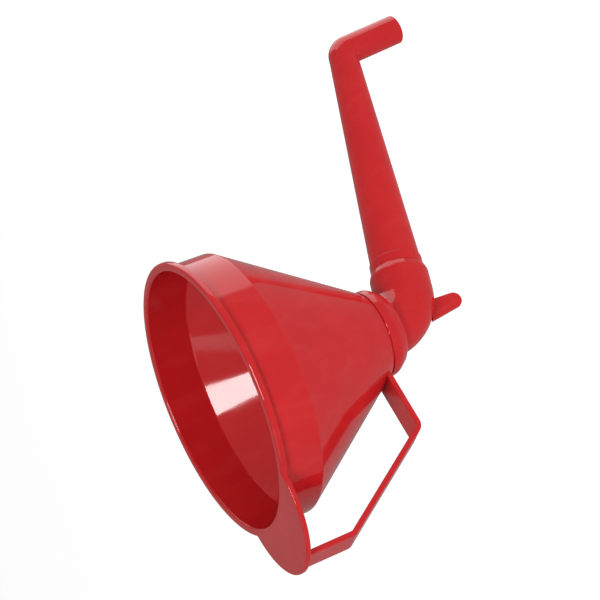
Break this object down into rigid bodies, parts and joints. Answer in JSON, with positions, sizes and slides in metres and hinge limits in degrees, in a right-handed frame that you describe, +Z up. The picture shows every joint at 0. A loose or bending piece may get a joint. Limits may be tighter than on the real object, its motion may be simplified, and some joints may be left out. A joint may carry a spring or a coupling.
{
  "type": "fuel funnel",
  "caption": "Hand-held funnel with a wide rimmed mouth, strap handle, lift-out strainer, turning elbow and a long offset spout with a bent tip, for pouring fuel into a tank.",
  "frame": {"origin": "centre of the mouth on the rim's top face", "axes": "+Z up along the bowl's axis and out of the mouth, +X toward the spout, handle on -X"},
  "size_m": [0.2984, 0.16, 0.2239],
  "materials": {
    "red_plastic": "glossy moulded polyethylene",
    "strainer_plastic": "glossy moulded polyethylene",
    "seal_rubber": "matte black rubber",
    "gauze_brass": "fine woven wire"
  },
  "bodies": {
    "bowl": {"bowl": "red_plastic", "handle": "red_plastic", "neck_ring": "red_plastic", "neck_seal": "seal_rubber"},
    "elbow": {"elbow": "red_plastic"},
    "spout": {"spout": "red_plastic", "spout_seal": "seal_rubber"},
    "strainer": {"strainer_frame": "strainer_plastic", "strainer_gauze": "gauze_brass"}
  },
  "joints": [
    {"name": "elbow_swivel", "type": "hinge", "parent": "bowl", "child": "elbow", "pos_m": [0, 0, -0.112], "axis": [0, 0, 1], "continuous": true},
    {"name": "spout_swivel", "type": "hinge", "parent": "elbow", "child": "spout", "pos_m": [0.03001, 0, -0.1381], "axis": [0.9553, 0, -0.2957], "continuous": true},
    {"name": "strainer_lift", "type": "slide", "parent": "bowl", "child": "strainer", "axis": [0, 0, 1], "range_m": [0, 0.09]}
  ]
}
